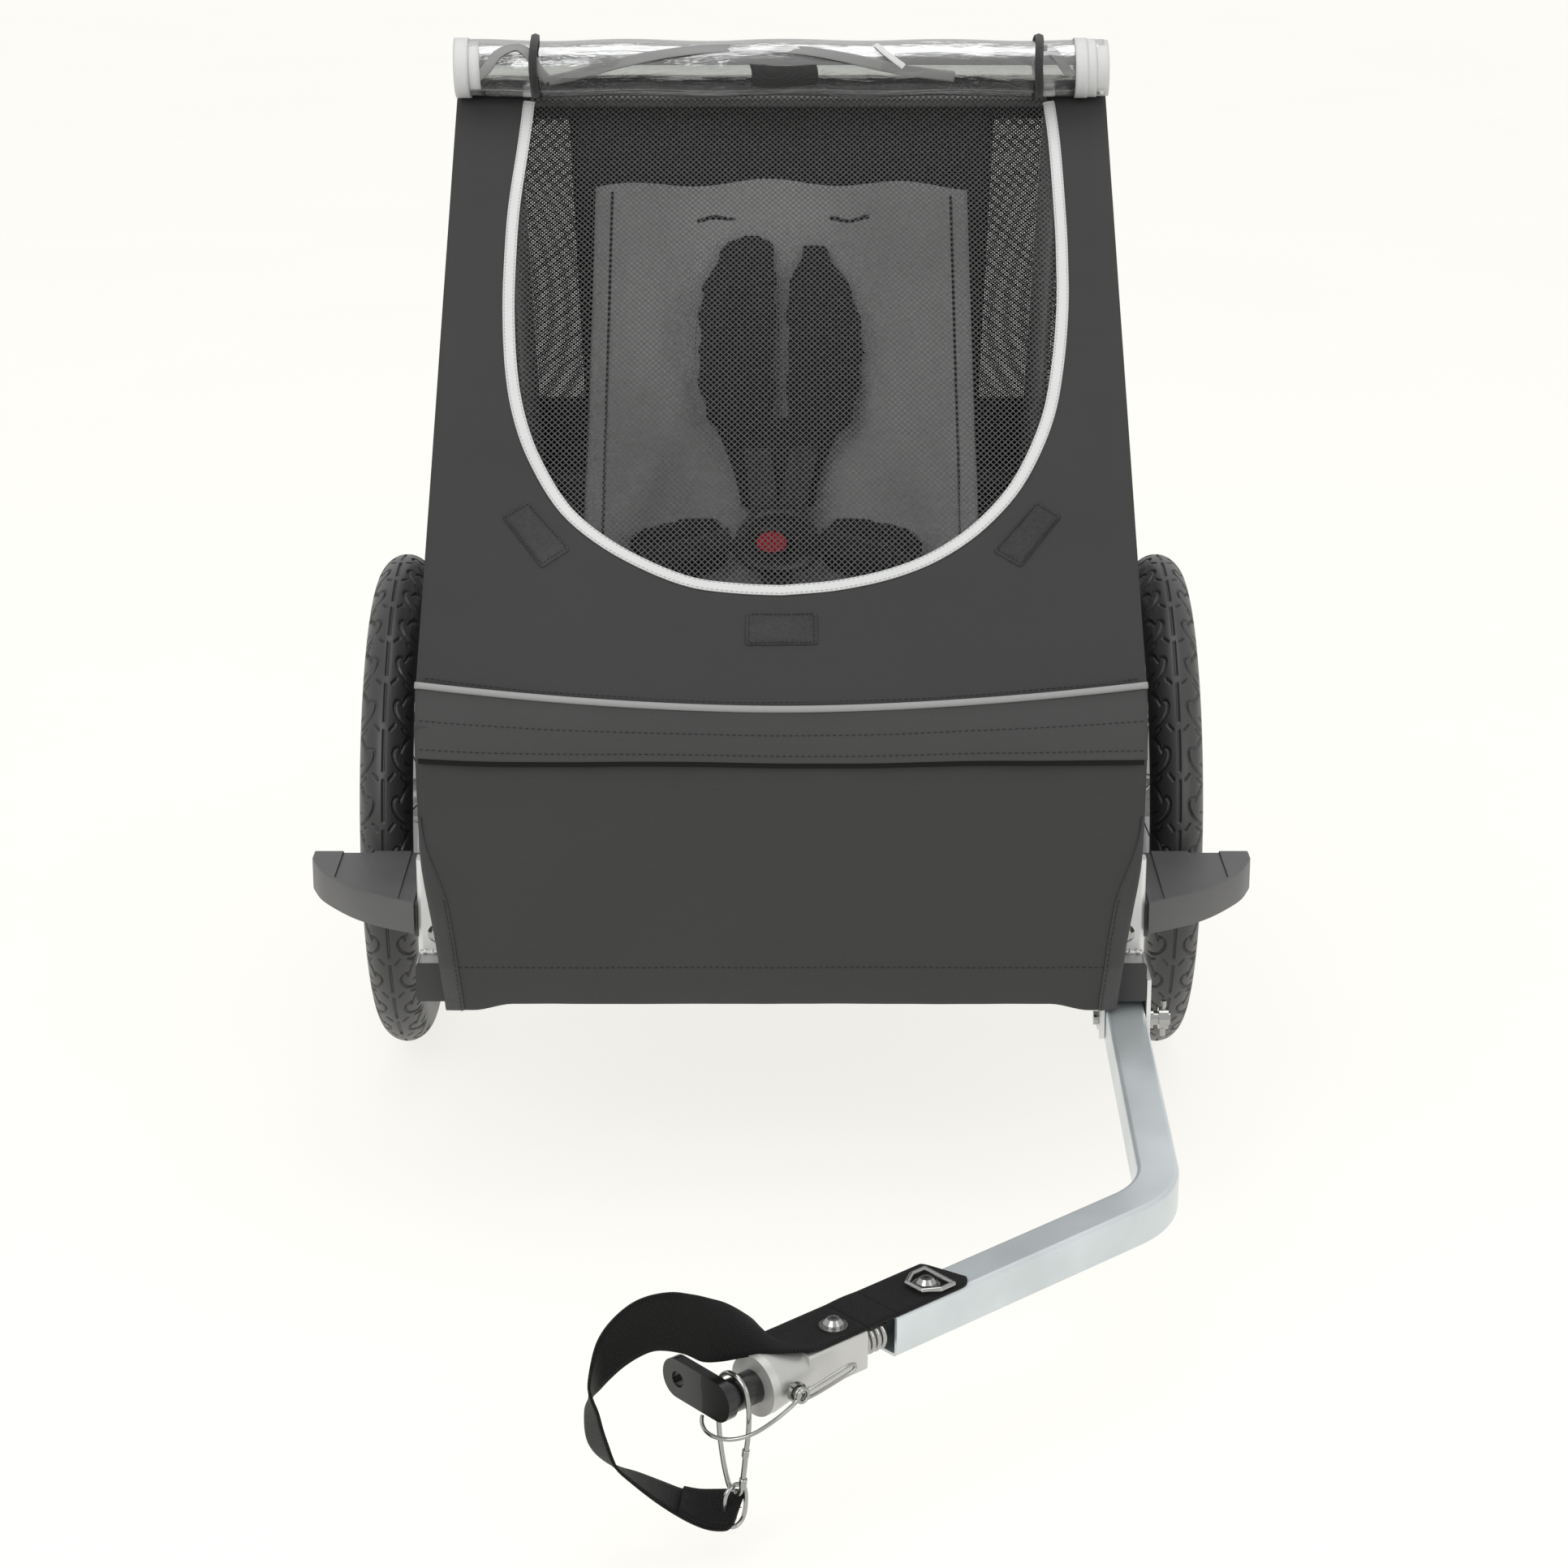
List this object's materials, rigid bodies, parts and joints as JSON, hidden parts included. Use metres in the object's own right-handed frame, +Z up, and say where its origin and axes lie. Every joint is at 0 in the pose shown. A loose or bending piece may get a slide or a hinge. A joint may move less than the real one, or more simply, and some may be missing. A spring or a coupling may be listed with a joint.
{
  "type": "child bicycle trailer",
  "caption": "Covered child bicycle trailer: fabric body on a square-tube frame, spoked wheels, folding side tow arm with flexible coupler, hitch plate and safety strap.",
  "frame": {"origin": "on the ground, under the middle of the overall length and width, 276.8 mm in front of the axle line", "axes": "+Z up; the tow side faces -Y; +X is the side of the tow arm (the trailer left side when facing forwards)"},
  "size_m": [0.71, 1.262, 0.8063],
  "materials": {
    "frame_metal": "satin",
    "arm_zinc": "satin zinc plate",
    "bright_zinc": "bright zinc",
    "black_metal": "satin black",
    "dark_plastic": "moulded matt",
    "button_plastic": "gloss red",
    "clear_vinyl": "clear glossy",
    "tyre_rubber": "semi matt",
    "shell_fabric": "fine woven dark grey",
    "window_mesh": "open knitted mesh",
    "tape_fabric": "reflective light grey tape",
    "seat_fabric": "woven mid grey",
    "pad_fabric": "black padded",
    "webbing": "ribbed black webbing",
    "hub_metal": "machined",
    "spoke_steel": "drawn wire"
  },
  "bodies": {
    "base": {"base_frame": "frame_metal", "tube_end_caps": "dark_plastic", "front_brackets": "frame_metal", "bracket_bolts": "bright_zinc", "front_uprights": "frame_metal", "elbow_pins": "bright_zinc", "rear_uprights": "frame_metal", "front_lower_panel": "shell_fabric", "side_panels_lower": "shell_fabric", "rear_wall": "shell_fabric", "tub_floor": "shell_fabric", "side_windows": "window_mesh", "rear_upper_panel": "shell_fabric", "seat_support_hoops": "frame_metal", "seat_pan": "seat_fabric", "seat_back": "seat_fabric", "shoulder_straps": "pad_fabric", "buckle_body": "dark_plastic", "waist_pads": "pad_fabric", "crotch_strap": "webbing", "wheel_guards": "dark_plastic", "wheel_axles": "bright_zinc", "tow_bracket_cheeks": "frame_metal", "tow_pivot_bolt": "bright_zinc"},
    "canopy": {"canopy_rails": "frame_metal", "top_crossbar": "frame_metal", "front_cover": "shell_fabric", "window_mesh": "window_mesh", "closure_patches": "webbing", "rain_cover_roll": "clear_vinyl"},
    "struts": {"rear_struts": "frame_metal"},
    "latch_left": {"latch_plunger_left": "bright_zinc"},
    "latch_right": {"latch_plunger_right": "bright_zinc"},
    "wheel_left": {"tyre_left": "tyre_rubber", "rim_left": "hub_metal", "spokes_left": "spoke_steel", "hub_left": "hub_metal", "wheel_bearings_left": "spoke_steel"},
    "wheel_right": {"tyre_right": "tyre_rubber", "rim_right": "hub_metal", "spokes_right": "spoke_steel", "hub_right": "hub_metal", "wheel_bearings_right": "spoke_steel"},
    "button_left": {"axle_button_left": "dark_plastic"},
    "button_right": {"axle_button_right": "dark_plastic"},
    "buckle_release": {"buckle_button": "button_plastic"},
    "tow_arm": {"tow_arm_tube": "arm_zinc", "flex_spring": "bright_zinc", "strap_on_arm": "webbing", "strap_bridge": "webbing", "strap_hardware_arm": "bright_zinc"},
    "tow_lock": {"tow_lock_pin": "bright_zinc"},
    "coupler": {"coupler_block": "frame_metal", "strap_hardware_coupler": "bright_zinc", "safety_strap": "webbing", "hitch_plate": "black_metal", "snap_hook": "bright_zinc"},
    "hitch_pin": {"hitch_pin": "bright_zinc"},
    "bail": {"bail_wire": "bright_zinc"},
    "hook_gate": {"snap_hook_gate": "bright_zinc"}
  },
  "joints": [
    {"name": "canopy_fold", "type": "hinge", "parent": "base", "child": "canopy", "pos_m": [0, -0.10349, 0.38635], "axis": [-1, 0, 0], "range_deg": [0, 31], "deforming": ["side_windows", "rear_upper_panel", "seat_back", "shoulder_straps"]},
    {"name": "strut_fold", "type": "hinge", "parent": "canopy", "child": "struts", "pos_m": [0, 0.37824, 0.75729], "axis": [-1, 0, 0], "range_deg": [0, 78]},
    {"name": "latch_left_slide", "type": "slide", "parent": "struts", "child": "latch_left", "axis": [-1, 0, 0], "range_m": [0, 0.007]},
    {"name": "latch_right_slide", "type": "slide", "parent": "struts", "child": "latch_right", "axis": [1, 0, 0], "range_m": [0, 0.007]},
    {"name": "wheel_left_spin", "type": "hinge", "parent": "base", "child": "wheel_left", "pos_m": [0.305, 0.2768, 0.199], "axis": [1, 0, 0], "continuous": true},
    {"name": "wheel_right_spin", "type": "hinge", "parent": "base", "child": "wheel_right", "pos_m": [-0.305, 0.2768, 0.199], "axis": [1, 0, 0], "continuous": true},
    {"name": "axle_button_left_press", "type": "slide", "parent": "base", "child": "button_left", "axis": [-1, 0, 0], "range_m": [0, 0.003]},
    {"name": "axle_button_right_press", "type": "slide", "parent": "base", "child": "button_right", "axis": [1, 0, 0], "range_m": [0, 0.003]},
    {"name": "buckle_press", "type": "slide", "parent": "base", "child": "buckle_release", "axis": [0, 1, 0], "range_m": [0, 0.002]},
    {"name": "tow_arm_fold", "type": "hinge", "parent": "base", "child": "tow_arm", "pos_m": [0.2515, -0.0112, 0.1415], "axis": [1, 0, 0], "range_deg": [0, 160]},
    {"name": "tow_lock_pull", "type": "slide", "parent": "tow_arm", "child": "tow_lock", "axis": [1, 0, 0], "range_m": [0, 0.06]},
    {"name": "coupler_flex", "type": "hinge", "parent": "tow_arm", "child": "coupler", "pos_m": [0.05317, -0.53507, 0.10946], "axis": [0, -0.061, 0.9981], "range_deg": [-30, 30], "stiffness_Nm_per_rad": 4, "deforming": ["flex_spring", "strap_bridge"]},
    {"name": "hitch_pin_pull", "type": "slide", "parent": "coupler", "child": "hitch_pin", "axis": [0.66, -0.7499, -0.0459], "range_m": [0, 0.05]},
    {"name": "bail_swing", "type": "hinge", "parent": "hitch_pin", "child": "bail", "pos_m": [0.01212, -0.6064, 0.1051], "axis": [0.66, -0.7499, -0.0459], "range_deg": [0, 28]},
    {"name": "hook_gate_swing", "type": "hinge", "parent": "coupler", "child": "hook_gate", "pos_m": [-0.01909, -0.60704, 0.05236], "axis": [-0.7513, -0.6588, -0.0403], "range_deg": [0, 20]}
  ],
  "couplings": [
    {"joint": "strut_fold", "follows": "canopy_fold", "ratio": 2.5}
  ]
}
